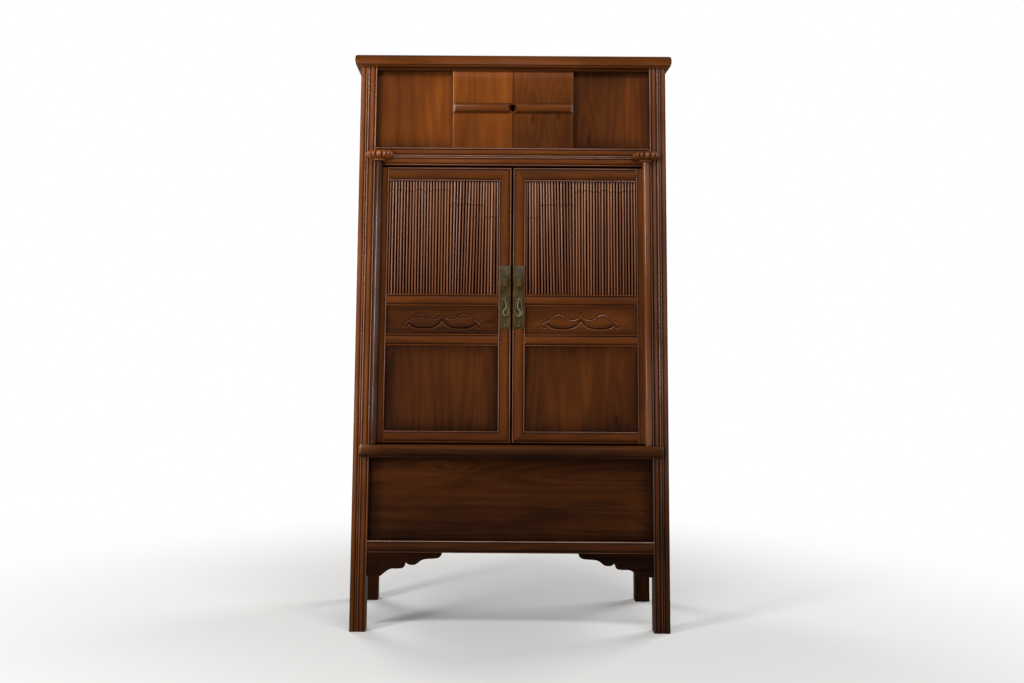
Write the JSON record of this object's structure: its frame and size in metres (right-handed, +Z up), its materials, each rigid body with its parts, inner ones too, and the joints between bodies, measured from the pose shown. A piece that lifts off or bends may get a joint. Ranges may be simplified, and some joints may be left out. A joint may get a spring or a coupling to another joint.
{
  "type": "tapered slat-door cabinet",
  "caption": "Tall tapered wooden cabinet with pivot-hung slat doors, sliding upper panels, a sill over a panelled well and shaped brackets.",
  "frame": {"origin": "on the floor, in the middle of the cabinet's box", "axes": "+X to the right seen from the front, +Y to the back, +Z up"},
  "size_m": [1.033, 0.546, 1.85],
  "materials": {
    "wood_frame": "old satin lacquer, red-brown, worn on the edges",
    "wood_panel": "old satin lacquer over straight-grained boards",
    "bamboo": "split bamboo, aged and lacquered",
    "brass": "dark patinated brass"
  },
  "bodies": {
    "carcass": {"top_board": "wood_frame", "head_rail": "wood_frame", "mid_rail": "wood_frame", "door_sill": "wood_frame", "bottom_rail": "wood_frame", "rear_rails": "wood_frame", "back_panels": "wood_panel", "front_well_panel": "wood_panel", "loft_floor": "wood_panel", "base_floor": "wood_panel", "shelf": "wood_panel", "post_front_left": "wood_frame", "post_front_right": "wood_frame", "post_rear_left": "wood_frame", "post_rear_right": "wood_frame", "side_rails_left": "wood_frame", "side_rails_right": "wood_frame", "side_panels_left": "wood_panel", "side_panels_right": "wood_panel", "fixed_panel_left": "wood_panel", "fixed_panel_right": "wood_panel", "apron_bracket_left": "wood_frame", "apron_bracket_right": "wood_frame", "capital_left": "wood_frame", "capital_right": "wood_frame", "shelf_bearer_left": "wood_frame", "shelf_bearer_right": "wood_frame"},
    "door_left": {"pivot_column_left": "wood_frame", "hinge_stile_left": "wood_frame", "meeting_stile_left": "wood_frame", "door_top_rail_left": "wood_frame", "door_mid_rails_left": "wood_frame", "door_bottom_rail_left": "wood_frame", "bamboo_slats_left": "bamboo", "carved_panel_left": "wood_panel", "lower_panel_left": "wood_panel", "lock_plate_left": "brass", "plate_nails_left": "brass", "lock_staple_left": "brass", "pull_eye_left": "brass"},
    "door_right": {"pivot_column_right": "wood_frame", "hinge_stile_right": "wood_frame", "meeting_stile_right": "wood_frame", "door_top_rail_right": "wood_frame", "door_mid_rails_right": "wood_frame", "door_bottom_rail_right": "wood_frame", "bamboo_slats_right": "bamboo", "carved_panel_right": "wood_panel", "lower_panel_right": "wood_panel", "lock_plate_right": "brass", "plate_nails_right": "brass", "lock_staple_right": "brass", "pull_eye_right": "brass"},
    "pull_left": {"pull_drop_left": "brass"},
    "pull_right": {"pull_drop_right": "brass"},
    "slider_left": {"sliding_panel_left": "wood_panel", "panel_batten_left": "wood_frame"},
    "slider_right": {"sliding_panel_right": "wood_panel", "panel_batten_right": "wood_frame"}
  },
  "joints": [
    {"name": "door_left_swing", "type": "hinge", "parent": "carcass", "child": "door_left", "pos_m": [-0.44186, -0.237, 0.6036], "axis": [-0.016, 0, -0.9999], "range_deg": [0, 110]},
    {"name": "door_right_swing", "type": "hinge", "parent": "carcass", "child": "door_right", "pos_m": [0.44186, -0.237, 0.6036], "axis": [-0.016, 0, 0.9999], "range_deg": [0, 110]},
    {"name": "pull_left_swing", "type": "hinge", "parent": "door_left", "child": "pull_left", "pos_m": [-0.022, -0.242, 1.071], "axis": [-1, 0, 0], "range_deg": [0, 100]},
    {"name": "pull_right_swing", "type": "hinge", "parent": "door_right", "child": "pull_right", "pos_m": [0.022, -0.242, 1.071], "axis": [-1, 0, 0], "range_deg": [0, 100]},
    {"name": "slider_left_slide", "type": "slide", "parent": "carcass", "child": "slider_left", "axis": [-1, 0, 0], "range_m": [0, 0.241]},
    {"name": "slider_right_slide", "type": "slide", "parent": "carcass", "child": "slider_right", "axis": [1, 0, 0], "range_m": [0, 0.241]}
  ]
}
